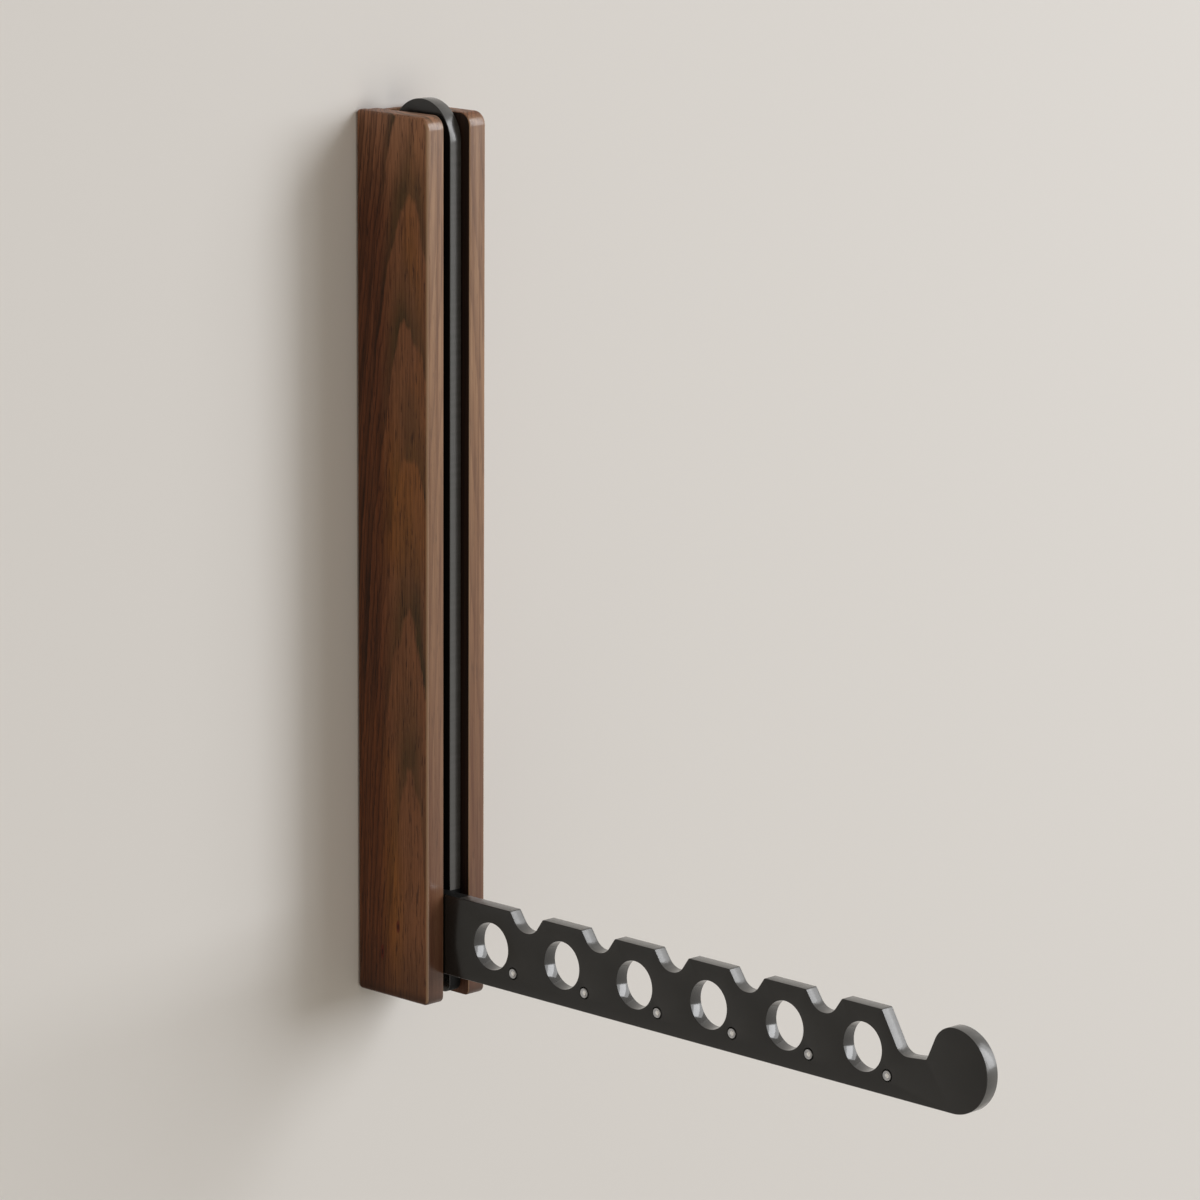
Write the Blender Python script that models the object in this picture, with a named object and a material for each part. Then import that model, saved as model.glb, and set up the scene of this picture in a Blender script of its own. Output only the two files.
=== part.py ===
"""Wall coat rack: a slotted walnut block with two flat steel arms that fold up into the slot.

Lengths are metres. +Z is up, the wall is the plane Y = 0, the rack faces -Y and +X is to its right.
The origin is the middle of the face that lies on the wall.
"""
import math

import bmesh
import bpy
from mathutils import Matrix, Vector

for old in list(bpy.data.objects):
    bpy.data.objects.remove(old, do_unlink=True)

# Clearances
SEAT_GAP = 0.0003
FLANGE_PROUD = 0.0001
STOW_CLEAR = 0.0008
HEEL_CLEAR = 0.0019

# Walnut block
BLOCK_H = 0.4000
CHEEK_T = 0.0103
CORNER_R = 0.0060
FOOT_FRONT_R = 0.0030
FOOT_BACK_R = 0.0020
OUTER_EDGE_R = 0.0016
INNER_EDGE_R = 0.0007
BOARD_T = 0.0030
BOARD_LAND = 0.0005
BOARD_FOOT = 0.0062
BOARD_HEAD = 0.0012

# Arms
ARM_T = 0.0070
ARM_H = 0.0368
ARM_RECESS = 0.0045
LEFT_HOLES = 6
RIGHT_HOLES = 7
HOLE_D = 0.0216
HOLE_PITCH = 0.0444
FIRST_HOLE = 0.0453
LAST_HOLE_TO_END = 0.0504
NOTCH_W = 0.0206
NOTCH_DEPTH = 0.0082
NOTCH_ANGLE = math.radians(55)
NOTCH_R = 0.0080
END_TAB = 0.0103
END_NOTCH_DEPTH = 0.0182
END_NOTCH_RISE = 0.0014
END_NOTCH_ANGLE = math.radians(59.5)
END_NOTCH_R = 0.0070
END_FOOT_R = 0.0016
END_LOBE_R = 0.0114
END_LOBE_SWEEP = math.radians(66)
TAB_R = 0.0010
STUD_D = 0.0048
STUD_SINK = 0.0004
STUD_PROUD = 0.0002
STUD_ALONG = 0.0140
STUD_UP = 0.0087

# Hinge
PIN_D = 0.0060
PIN_TO_EDGE = 0.0113
PIN_HEAD_D = 0.0100
PIN_HEAD_T = 0.0016
PIN_GROOVE = 0.0008
PIN_TIP = 0.0010
WASHER_D = 0.0110
WASHER_T = 0.0008
CLIP_D = 0.0100
CLIP_T = 0.0008
CLIP_MOUTH = math.radians(50)
BUSH_WALL = 0.0014
FLANGE_D = 0.0150
FLANGE_T = 0.0010
HEEL_R = 0.0040
HEEL_LEAN = math.radians(20)
SHOULDER_R = 0.0030
EAR_T = 0.0020
EAR_REACH = 0.0090
EAR_R = 0.0060
WEB_T = 0.0030
WEB_DROP = 0.0050
BRACKET_FOOT = 0.0030

# Fixings
SCREW_D = 0.0024
SCREW_HEAD_D = 0.0046
BOARD_SCREW_L = 0.0120
BOARD_SCREW_ROWS = 3
BOARD_SCREW_END = 0.0320
BOARD_SCREW_OVER_EAR = 0.0100
BRACKET_SCREW_SPREAD = 0.0090
WALL_SCREW_D = 0.0050
WALL_HOLE_SPAN = 0.2400
CUP_D = 0.0110
CUP_T = 0.0018
CUP_RIM = 0.0006
PAD_W = 0.0050
PAD_L = 0.0120
PAD_SINK = 0.0014
PAD_STATION = 4

# Fineness of the round forms
HOLE_STEPS = 32
ROUND_STEPS = 20
SMALL_STEPS = 12
END_STEPS = 24
FILLET_STEPS = 5

# Worked out from the sizes above
SIDE_GAP = max(STUD_PROUD, 2 * FLANGE_PROUD) + SEAT_GAP
BOARD_REBATE = SCREW_HEAD_D + 2 * (SEAT_GAP + BOARD_LAND)
SLOT_W = 2 * ARM_T + 3 * SIDE_GAP
BLOCK_W = SLOT_W + 2 * CHEEK_T
BLOCK_D = ARM_RECESS + ARM_H + STOW_CLEAR + BOARD_T
FLOOR_Z = -BLOCK_H / 2
TOP_Z = BLOCK_H / 2
ARM_TOP = ARM_H - PIN_TO_EDGE
ARM_X = (ARM_T + SIDE_GAP) / 2
HEEL = ARM_TOP + STOW_CLEAR - WEB_T - 2 * SEAT_GAP
PIN_Y = -BLOCK_D + ARM_RECESS + PIN_TO_EDGE
PIN_Z = FLOOR_Z + HEEL + HEEL_CLEAR
BOARD_W = SLOT_W + 2 * (BOARD_REBATE - SEAT_GAP)
WEB_BACK = -BOARD_T - SEAT_GAP
WEB_FRONT = WEB_BACK - WEB_T
WEB_TOP = PIN_Z - WEB_DROP
EAR_FOOT = FLOOR_Z + BRACKET_FOOT
EAR_OUT = SLOT_W / 2 + EAR_T
BUSH_BORE_R = PIN_D / 2 + SEAT_GAP
BUSH_R = BUSH_BORE_R + BUSH_WALL
ARM_BORE_R = BUSH_R + SEAT_GAP
WASHER_X = EAR_OUT + SEAT_GAP
CLIP_X = WASHER_X + WASHER_T + SEAT_GAP
PIN_END_X = CLIP_X + CLIP_T + SEAT_GAP + PIN_TIP
HEAD_X = -EAR_OUT - SEAT_GAP
GROOVE_R = PIN_D / 2 - PIN_GROOVE
OVER = 2 * SEAT_GAP + FLANGE_T

ALONG_X = Matrix.Rotation(math.pi / 2, 4, "Y")
TO_WALL = Matrix.Rotation(-math.pi / 2, 4, "X")
FROM_WALL = Matrix.Rotation(math.pi / 2, 4, "X")
ON_PIN = Matrix.Translation((0.0, PIN_Y, PIN_Z)) @ ALONG_X


def material(name, colour, roughness, metallic):
    mat = bpy.data.materials.new(name)
    mat.use_nodes = True
    shader = mat.node_tree.nodes["Principled BSDF"]
    shader.inputs["Base Color"].default_value = (*colour, 1.0)
    shader.inputs["Roughness"].default_value = roughness
    shader.inputs["Metallic"].default_value = metallic
    return mat


WALNUT = material("walnut", (0.115, 0.055, 0.030), 0.45, 0.0)
WALNUT_BOARD = material("walnut_board", (0.125, 0.062, 0.036), 0.55, 0.0)
BLACK_STEEL = material("black_steel", (0.022, 0.021, 0.019), 0.38, 0.7)
BRIGHT_STEEL = material("bright_steel", (0.62, 0.61, 0.59), 0.22, 1.0)
ZINC_STEEL = material("zinc_steel", (0.45, 0.45, 0.46), 0.35, 1.0)
BUSH_PLASTIC = material("bush_plastic", (0.05, 0.05, 0.05), 0.5, 0.0)
PAD_RUBBER = material("pad_rubber", (0.03, 0.03, 0.03), 0.9, 0.0)


def finish(bm, name, mat, parent=None, round_piece=False):
    """Makes a named object of bm, with its faces pointing out."""
    bmesh.ops.recalc_face_normals(bm, faces=bm.faces)
    mesh = bpy.data.meshes.new(name)
    bm.to_mesh(mesh)
    bm.free()
    obj = bpy.data.objects.new(name, mesh)
    bpy.context.collection.objects.link(obj)
    obj.parent = parent
    if mat is not None:
        mesh.materials.append(mat)
    if round_piece:
        mesh.shade_smooth()
        mesh.set_sharp_from_angle(angle=math.radians(35))
    return obj


def cut(obj, bm, name):
    """Cuts the closed shape bm out of obj."""
    tool = finish(bm, name, None, obj.parent)
    tool.hide_render = True
    tool.display_type = "WIRE"
    mod = obj.modifiers.new(name, "BOOLEAN")
    mod.operation = "DIFFERENCE"
    mod.solver = "EXACT"
    mod.object = tool


def circle(a, b, r, steps):
    turns = [2 * math.pi * k / steps for k in range(steps)]
    return [(a + r * math.cos(t), b + r * math.sin(t)) for t in turns]


def arc(a, b, r, start, end, steps):
    turns = [start + (end - start) * k / steps for k in range(steps + 1)]
    return [(a + r * math.cos(t), b + r * math.sin(t), 0.0) for t in turns]


def rounded(corners):
    """Closed outline through corners (a, b, radius). A radius makes an arc inside the corner's two sides."""
    points = []
    for i, (a, b, radius) in enumerate(corners):
        if radius <= 0:
            points.append((a, b))
            continue
        here = Vector((a, b))
        back = Vector(corners[i - 1][:2]) - here
        ahead = Vector(corners[(i + 1) % len(corners)][:2]) - here
        half = back.angle(ahead) / 2
        reach = min(radius / math.tan(half), back.length * 0.49, ahead.length * 0.49)
        r = reach * math.tan(half)
        first = here + back.normalized() * reach
        last = here + ahead.normalized() * reach
        centre = here + (back.normalized() + ahead.normalized()).normalized() * (r / math.sin(half))
        start = math.atan2(first.y - centre.y, first.x - centre.x)
        end = math.atan2(last.y - centre.y, last.x - centre.x)
        turn = (end - start + math.pi) % (2 * math.pi) - math.pi
        points += [(x, y) for x, y, _ in arc(centre.x, centre.y, r, start, start + turn, FILLET_STEPS)]
    return points


def plate(bm, loops, x0, x1):
    """Adds a flat plate from x0 to x1 to bm. The first loop of (y, z) points is its outline, the rest are
    holes."""
    caps = ([], [])
    for loop in loops:
        near = [bm.verts.new((x0, y, z)) for y, z in loop]
        far = [bm.verts.new((x1, y, z)) for y, z in loop]
        for i in range(len(loop)):
            caps[0].append(bm.edges.new((near[i - 1], near[i])))
            caps[1].append(bm.edges.new((far[i - 1], far[i])))
            bm.faces.new((near[i - 1], near[i], far[i], far[i - 1]))
    for edges in caps:
        bmesh.ops.triangle_fill(bm, edges=edges, use_beauty=True)
    return bm


def box(bm, low, high):
    """Adds a box between two corners to bm."""
    size = [h - l for l, h in zip(low, high)]
    middle = [(h + l) / 2 for l, h in zip(low, high)]
    place = Matrix.Translation(middle) @ Matrix.Diagonal((*size, 1.0))
    bmesh.ops.create_cube(bm, size=1.0, matrix=place)
    return bm


def lathe(bm, profile, steps, place, ring=False):
    """Adds a turned solid to bm, its axis the Z of place. The profile is (radius, height) points from end to
    end, starting and ending on the axis, or for a ring a closed loop of points off the axis."""
    rows = []
    for r, h in profile:
        spots = circle(0.0, 0.0, r, steps) if r > 0 else [(0.0, 0.0)]
        rows.append([bm.verts.new(place @ Vector((x, y, h))) for x, y in spots])
    pairs = list(zip(rows, rows[1:]))
    if ring:
        pairs.append((rows[-1], rows[0]))
    for low, high in pairs:
        for k in range(steps):
            n = (k + 1) % steps
            corners = [low[k % len(low)], low[n % len(low)], high[n % len(high)], high[k % len(high)]]
            bm.faces.new(list(dict.fromkeys(corners)))
    return bm


def rod(bm, r, h0, h1, steps, place):
    return lathe(bm, [(0.0, h0), (r, h0), (r, h1), (0.0, h1)], steps, place)


def ring(bm, inner, outer, h0, h1, steps, place):
    return lathe(bm, [(inner, h0), (outer, h0), (outer, h1), (inner, h1)], steps, place, ring=True)


def screw_profile(length, room):
    """Countersunk screw pointing along +Z with its head's top at zero. With room it is the hole for that
    screw, wider by room and open past its head."""
    head, shank = SCREW_HEAD_D / 2 + room, SCREW_D / 2 + room
    tip = [(head, 0.0), (shank, head - shank), (shank, length + room), (0.0, length + room)]
    if room > 0:
        return [(0.0, -head), (head, -head), *tip]
    return [(0.0, 0.0), *tip]


def pivot(name, quarter_turns):
    """Empty on the hinge pin's axis that carries an arm."""
    empty = bpy.data.objects.new(name, None)
    bpy.context.collection.objects.link(empty)
    empty.location = (0.0, PIN_Y, PIN_Z)
    empty.rotation_euler = (-quarter_turns * math.pi / 2, 0.0, 0.0)
    return empty


# The block: two cheeks and a back board

BOARD_SCREW_X = (SLOT_W + BOARD_W) / 4
BOARD_SCREW_LOW = PIN_Z + EAR_REACH + BOARD_SCREW_OVER_EAR
BOARD_SCREW_STEP = (TOP_Z - BOARD_SCREW_END - BOARD_SCREW_LOW) / (BOARD_SCREW_ROWS - 1)
BOARD_SCREW_Z = [BOARD_SCREW_LOW + k * BOARD_SCREW_STEP for k in range(BOARD_SCREW_ROWS)]
SCREW_TOP_Y = -SEAT_GAP


def screws(bm, spots, length, room):
    """Adds countersunk screws to bm that go in from the wall side at the (x, z) spots."""
    for x, z in spots:
        place = Matrix.Translation((x, SCREW_TOP_Y, z)) @ FROM_WALL
        lathe(bm, screw_profile(length, room), SMALL_STEPS, place)
    return bm


def ear_outline(room, back):
    """Side view of a bracket ear, grown by room, its back edge at back."""
    front, top, foot = PIN_Y - EAR_REACH - room, PIN_Z + EAR_REACH + room, EAR_FOOT - room
    r = EAR_R + room
    return rounded([(front, foot, r), (back, foot, 0.0), (back, top, 0.0), (front, top, r)])


def cheek(name, side):
    """One walnut cheek; side is -1 for the left and 1 for the right."""
    inner, outer = side * SLOT_W / 2, side * BLOCK_W / 2
    outline = rounded([
        (-BLOCK_D, FLOOR_Z, FOOT_FRONT_R),
        (0.0, FLOOR_Z, FOOT_BACK_R),
        (0.0, TOP_Z, OUTER_EDGE_R),
        (-BLOCK_D, TOP_Z, CORNER_R),
    ])
    bm = plate(bmesh.new(), [outline], inner, outer)
    for x, radius in ((outer, OUTER_EDGE_R), (inner, INNER_EDGE_R)):
        rim = [e for e in bm.edges if all(abs(v.co.x - x) < 1e-7 for v in e.verts)]
        rim = [e for e in rim if len(e.link_faces) == 2 and e.calc_face_angle() > 1.0]
        bmesh.ops.bevel(
            bm, geom=rim, offset=radius, segments=2, profile=0.5, affect="EDGES", clamp_overlap=True
        )
    obj = finish(bm, name, WALNUT)

    low, high = sorted((0.0, side * (SLOT_W / 2 + BOARD_REBATE)))
    below = (low, -BOARD_T - SEAT_GAP, FLOOR_Z - BOARD_T)
    above = (high, BOARD_T, TOP_Z + BOARD_T)
    cut(obj, box(bmesh.new(), below, above), name + "_rebate")
    bed = plate(bmesh.new(), [ear_outline(SEAT_GAP, 0.0)], 0.0, side * (EAR_OUT + SEAT_GAP))
    cut(obj, bed, name + "_bracket_bed")
    if side < 0:
        wide, deep = PIN_HEAD_D, -HEAD_X + PIN_HEAD_T
    else:
        wide, deep = max(WASHER_D, CLIP_D), PIN_END_X
    hollow = rod(bmesh.new(), wide / 2 + SEAT_GAP, 0.0, side * (deep + SEAT_GAP), ROUND_STEPS, ON_PIN)
    cut(obj, hollow, name + "_pin_end")
    spots = [(side * BOARD_SCREW_X, z) for z in BOARD_SCREW_Z]
    cut(obj, screws(bmesh.new(), spots, BOARD_SCREW_L, SEAT_GAP), name + "_pilots")
    return obj


cheek("left_cheek", -1)
cheek("right_cheek", 1)

BOARD_SPOTS = [(s * BOARD_SCREW_X, z) for s in (-1, 1) for z in BOARD_SCREW_Z]
BRACKET_SPOTS = [(s * BRACKET_SCREW_SPREAD / 2, (EAR_FOOT + WEB_TOP) / 2) for s in (-1, 1)]
CUP_Z = [-WALL_HOLE_SPAN / 2, WALL_HOLE_SPAN / 2]
PAD_Z = PIN_Z + FIRST_HOLE + PAD_STATION * HOLE_PITCH
BRACKET_SCREW_L = -SCREW_TOP_Y - WEB_FRONT - 3 * SEAT_GAP

low, high = (-BOARD_W / 2, -BOARD_T, FLOOR_Z + BOARD_FOOT), (BOARD_W / 2, 0.0, TOP_Z - BOARD_HEAD)
board = finish(box(bmesh.new(), low, high), "back_board", WALNUT_BOARD)
cut(board, screws(bmesh.new(), BOARD_SPOTS, BOARD_SCREW_L, SEAT_GAP), "board_screw_holes")
cut(board, screws(bmesh.new(), BRACKET_SPOTS, BRACKET_SCREW_L, SEAT_GAP), "bracket_screw_holes")
bm = bmesh.new()
for z in CUP_Z:
    place = Matrix.Translation((0.0, -BOARD_T, z)) @ TO_WALL
    seat, floor = CUP_D / 2 + SEAT_GAP, CUP_T + SEAT_GAP
    way, past = WALL_SCREW_D / 2, 2 * BOARD_T
    hole = [(0.0, -past), (seat, -past), (seat, floor), (way, floor), (way, past), (0.0, past)]
    lathe(bm, hole, ROUND_STEPS, place)
cut(board, bm, "wall_screw_holes")
bm = bmesh.new()
for side in (-1, 1):
    x, w, l = side * ARM_X, PAD_W / 2 + SEAT_GAP, PAD_L / 2 + SEAT_GAP
    box(bm, (x - w, -2 * BOARD_T, PAD_Z - l), (x + w, -BOARD_T + PAD_SINK + SEAT_GAP, PAD_Z + l))
cut(board, bm, "pad_beds")

for k, spot in enumerate(BOARD_SPOTS):
    side, row = divmod(k, BOARD_SCREW_ROWS)
    name = f"{('left', 'right')[side]}_board_screw_{row + 1}"
    finish(screws(bmesh.new(), [spot], BOARD_SCREW_L, 0.0), name, ZINC_STEEL, round_piece=True)
for name, spot in zip(("left_bracket_screw", "right_bracket_screw"), BRACKET_SPOTS):
    finish(screws(bmesh.new(), [spot], BRACKET_SCREW_L, 0.0), name, ZINC_STEEL, round_piece=True)

for name, z in zip(("lower_wall_screw_cup", "upper_wall_screw_cup"), CUP_Z):
    place = Matrix.Translation((0.0, -BOARD_T, z)) @ TO_WALL
    way, rim = WALL_SCREW_D / 2, CUP_D / 2
    cup = [(rim - CUP_RIM, 0.0), (rim, 0.0), (rim, CUP_T), (way, CUP_T)]
    finish(lathe(bmesh.new(), cup, ROUND_STEPS, place, ring=True), name, ZINC_STEEL, round_piece=True)

for side, name in ((-1, "left_stow_pad"), (1, "right_stow_pad")):
    x, w, l = side * ARM_X, PAD_W / 2, PAD_L / 2
    low = (x - w, -BOARD_T - STOW_CLEAR + SEAT_GAP, PAD_Z - l)
    high = (x + w, -BOARD_T + PAD_SINK, PAD_Z + l)
    finish(box(bmesh.new(), low, high), name, PAD_RUBBER)

# The hinge: bracket, pin, washer and clip

bm = plate(bmesh.new(), [ear_outline(0.0, WEB_BACK)], -EAR_OUT, EAR_OUT)
bracket = finish(bm, "hinge_bracket", BLACK_STEEL)
far_front, far_top, far_foot = PIN_Y - 2 * EAR_REACH, PIN_Z + 2 * EAR_REACH, EAR_FOOT - EAR_REACH
way = [
    (far_front, far_foot),
    (WEB_FRONT, far_foot),
    (WEB_FRONT, WEB_TOP),
    (0.0, WEB_TOP),
    (0.0, far_top),
    (far_front, far_top),
]
cut(bracket, plate(bmesh.new(), [way], -SLOT_W / 2, SLOT_W / 2), "arm_way")
cut(bracket, rod(bmesh.new(), BUSH_BORE_R, -2 * EAR_OUT, 2 * EAR_OUT, ROUND_STEPS, ON_PIN), "pin_holes")
cut(bracket, screws(bmesh.new(), BRACKET_SPOTS, BRACKET_SCREW_L, SEAT_GAP), "bracket_taps")

pin_r, tip_r = PIN_D / 2, PIN_D / 2 - PIN_GROOVE / 2
groove_0, groove_1 = CLIP_X - SEAT_GAP, CLIP_X + CLIP_T + SEAT_GAP
pin_profile = [
    (0.0, HEAD_X - PIN_HEAD_T),
    (PIN_HEAD_D / 2, HEAD_X - PIN_HEAD_T),
    (PIN_HEAD_D / 2, HEAD_X),
    (pin_r, HEAD_X),
    (pin_r, groove_0),
    (GROOVE_R, groove_0),
    (GROOVE_R, groove_1),
    (pin_r, groove_1),
    (tip_r, PIN_END_X),
    (0.0, PIN_END_X),
]
pin = lathe(bmesh.new(), pin_profile, ROUND_STEPS, ON_PIN)
finish(pin, "hinge_pin", BRIGHT_STEEL, round_piece=True)
washer = ring(bmesh.new(), BUSH_BORE_R, WASHER_D / 2, WASHER_X, WASHER_X + WASHER_T, ROUND_STEPS, ON_PIN)
finish(washer, "pin_washer", ZINC_STEEL, round_piece=True)

open_at, close_at = CLIP_MOUTH / 2, 2 * math.pi - CLIP_MOUTH / 2
clip = arc(PIN_Y, PIN_Z, CLIP_D / 2, open_at, close_at, ROUND_STEPS)
clip += arc(PIN_Y, PIN_Z, GROOVE_R + SEAT_GAP, close_at, open_at, ROUND_STEPS)
bm = plate(bmesh.new(), [[(y, z) for y, z, _ in clip]], CLIP_X, CLIP_X + CLIP_T)
finish(bm, "pin_clip", ZINC_STEEL, round_piece=True)

# The arms: u runs out along an arm from the pin, and v across it, up when the arm stands straight out


def arm_outline(holes):
    """Side view of an arm with so many hanger holes, as (u, v) points."""
    edge, top = -PIN_TO_EDGE, ARM_TOP
    last = FIRST_HOLE + (holes - 1) * HOLE_PITCH
    end = last + LAST_HOLE_TO_END
    end_r = ARM_H / 2
    path = [(-HEEL, edge, HEEL_R)]
    path += arc(end, edge + end_r, end_r, -math.pi / 2, math.pi / 2, END_STEPS)
    lobe_v = top - END_LOBE_R
    lobe_end = math.pi / 2 + END_LOBE_SWEEP
    path += arc(end, lobe_v, END_LOBE_R, math.pi / 2, lobe_end, END_STEPS // 2)[1:]
    lobe_u, lobe_foot = path[-1][0], path[-1][1]
    bottom = top - END_NOTCH_DEPTH
    foot_v = bottom + END_NOTCH_RISE
    foot_u = lobe_u - (lobe_foot - foot_v) / math.tan(END_LOBE_SWEEP)
    path.append((foot_u, foot_v, END_FOOT_R))
    tab_end = last + END_TAB
    path.append((tab_end + END_NOTCH_DEPTH / math.tan(END_NOTCH_ANGLE), bottom, END_NOTCH_R))
    path.append((tab_end, top, TAB_R))
    run = NOTCH_DEPTH / math.tan(NOTCH_ANGLE)
    for k in reversed(range(holes - 1)):
        mid = FIRST_HOLE + (k + 0.5) * HOLE_PITCH
        half = NOTCH_W / 2
        path.append((mid + half, top, TAB_R))
        path.append((mid + half - run, top - NOTCH_DEPTH, NOTCH_R))
        path.append((mid - half + run, top - NOTCH_DEPTH, NOTCH_R))
        path.append((mid - half, top, TAB_R))
    lean = (top - HEEL * math.cos(HEEL_LEAN)) / math.sin(HEEL_LEAN)
    path.append((lean * math.cos(HEEL_LEAN) - HEEL * math.sin(HEEL_LEAN), top, SHOULDER_R))
    path += arc(0.0, 0.0, HEEL, math.pi / 2 + HEEL_LEAN, math.pi, END_STEPS // 2)
    return rounded(path)


def stud_spots(holes):
    return [(FIRST_HOLE + k * HOLE_PITCH + STUD_ALONG, STUD_UP - PIN_TO_EDGE) for k in range(holes)]


def arm(name, holes, x, hub):
    """Arm plate with its middle at x, hung on the empty hub at the pin."""
    middle = ARM_H / 2 - PIN_TO_EDGE
    loops = [arm_outline(holes)]
    loops += [circle(FIRST_HOLE + k * HOLE_PITCH, middle, HOLE_D / 2, HOLE_STEPS) for k in range(holes)]
    loops += [circle(u, v, STUD_D / 2 + SEAT_GAP, SMALL_STEPS) for u, v in stud_spots(holes)]
    loops.append(circle(0.0, 0.0, ARM_BORE_R, ROUND_STEPS))
    flat = [[(-u, v) for u, v in loop] for loop in loops]
    obj = finish(plate(bmesh.new(), flat, x - ARM_T / 2, x + ARM_T / 2), name, BLACK_STEEL, hub)
    bm = bmesh.new()
    floor = ARM_T / 2 + FLANGE_PROUD - FLANGE_T - SEAT_GAP
    for side in (-1, 1):
        place = Matrix.Translation((x, 0.0, 0.0)) @ ALONG_X
        low, high = sorted((side * floor, side * (ARM_T / 2 + OVER)))
        rod(bm, FLANGE_D / 2 + SEAT_GAP, low, high, ROUND_STEPS, place)
    cut(obj, bm, name + "_flange_seats")
    return obj


def bush(name, x, side, hub):
    """Flanged bush in the arm at x; its flange is on the side -1 or 1."""
    face = side * (ARM_T / 2 + FLANGE_PROUD)
    under = face - side * FLANGE_T
    deep = side * SEAT_GAP / 2
    profile = [
        (BUSH_BORE_R, face),
        (FLANGE_D / 2, face),
        (FLANGE_D / 2, under),
        (BUSH_R, under),
        (BUSH_R, deep),
        (BUSH_BORE_R, deep),
    ]
    place = Matrix.Translation((x, 0.0, 0.0)) @ ALONG_X
    bm = lathe(bmesh.new(), profile, ROUND_STEPS, place, ring=True)
    return finish(bm, name, BUSH_PLASTIC, hub, round_piece=True)


def studs(name, holes, x, hub):
    """Domed studs through an arm, the domes on its left side."""
    r, base, rise = STUD_D / 2, ARM_T / 2 - STUD_SINK, STUD_SINK + STUD_PROUD
    dome = [(r * math.cos(t), base + rise * math.sin(t)) for t in (0.0, math.pi / 6, math.pi / 3)]
    profile = [(0.0, SEAT_GAP - ARM_T / 2), (r, SEAT_GAP - ARM_T / 2), *dome, (0.0, base + rise)]
    for k, (u, v) in enumerate(stud_spots(holes)):
        place = Matrix.Translation((x, -u, v)) @ Matrix.Rotation(-math.pi / 2, 4, "Y")
        bm = lathe(bmesh.new(), profile, SMALL_STEPS, place)
        finish(bm, f"{name}_{k + 1}", BRIGHT_STEEL, hub, round_piece=True)


left_hub = pivot("left_arm_pivot", 0)
arm("left_arm", LEFT_HOLES, -ARM_X, left_hub)
bush("left_outer_bush", -ARM_X, -1, left_hub)
bush("left_inner_bush", -ARM_X, 1, left_hub)
studs("left_arm_stud", LEFT_HOLES, -ARM_X, left_hub)

right_hub = pivot("right_arm_pivot", 1)
arm("right_arm", RIGHT_HOLES, ARM_X, right_hub)
bush("right_inner_bush", ARM_X, -1, right_hub)
bush("right_outer_bush", ARM_X, 1, right_hub)
studs("right_arm_stud", RIGHT_HOLES, ARM_X, right_hub)
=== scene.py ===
"""Looks of the wall coat rack: fine meshes for the wood, arms and fixings, their materials, a wall,
light and camera.

Lengths are metres in the frame of the CAD model: +Z is up, the wall is the plane Y = 0, the rack
faces -Y. Colours are linear RGB.
"""
import math

import bmesh
import bpy
from mathutils import Matrix, Vector


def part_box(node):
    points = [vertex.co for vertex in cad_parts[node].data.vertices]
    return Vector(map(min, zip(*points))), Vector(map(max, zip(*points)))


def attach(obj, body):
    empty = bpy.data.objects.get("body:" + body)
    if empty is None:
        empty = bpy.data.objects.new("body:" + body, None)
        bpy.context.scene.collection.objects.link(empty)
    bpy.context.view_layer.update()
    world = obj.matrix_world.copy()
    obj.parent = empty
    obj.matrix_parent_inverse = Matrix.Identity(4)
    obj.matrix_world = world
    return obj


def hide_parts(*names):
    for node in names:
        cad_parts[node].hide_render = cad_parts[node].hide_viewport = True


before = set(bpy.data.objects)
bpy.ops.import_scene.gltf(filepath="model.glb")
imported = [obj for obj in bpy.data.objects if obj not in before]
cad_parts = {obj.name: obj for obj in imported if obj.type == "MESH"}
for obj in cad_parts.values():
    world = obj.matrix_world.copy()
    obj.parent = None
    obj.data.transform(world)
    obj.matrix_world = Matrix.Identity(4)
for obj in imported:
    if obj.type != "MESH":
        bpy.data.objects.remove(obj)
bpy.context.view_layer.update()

# Sizes of the CAD model that its boxes don't give
SEAT_GAP = 0.0003
CORNER_R = 0.0060
FOOT_FRONT_R = 0.0030
FOOT_BACK_R = 0.0020
OUTER_EDGE_R = 0.0016
INNER_EDGE_R = 0.0007
BOARD_T = 0.0030
BOARD_REBATE = 0.0062
ARM_H = 0.0368
HOLE_D = 0.0216
HOLE_PITCH = 0.0444
FIRST_HOLE = 0.0453
LAST_HOLE_TO_END = 0.0504
NOTCH_W = 0.0206
NOTCH_DEPTH = 0.0082
NOTCH_ANGLE = math.radians(55)
NOTCH_R = 0.0080
END_TAB = 0.0103
END_NOTCH_DEPTH = 0.0182
END_NOTCH_RISE = 0.0014
END_NOTCH_ANGLE = math.radians(59.5)
END_NOTCH_R = 0.0070
END_FOOT_R = 0.0016
END_LOBE_R = 0.0114
END_LOBE_SWEEP = math.radians(66)
TAB_R = 0.0010
STUD_D = 0.0048
STUD_SINK = 0.0004
STUD_PROUD = 0.0002
STUD_ALONG = 0.0140
STUD_UP = 0.0087
PIN_TO_EDGE = 0.0113
HEEL = 0.0227
HEEL_R = 0.0040
HEEL_LEAN = math.radians(20)
SHOULDER_R = 0.0030
BUSH_R = 0.0050
FLANGE_SEAT_R = 0.0078
FLANGE_SEAT = 0.0012
EAR_REACH = 0.0090
EAR_R = 0.0060
EAR_T = 0.0020
SCREW_D = 0.0024
SCREW_HEAD_D = 0.0046
WALL_SCREW_D = 0.0050
CUP_RIM = 0.0006

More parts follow.
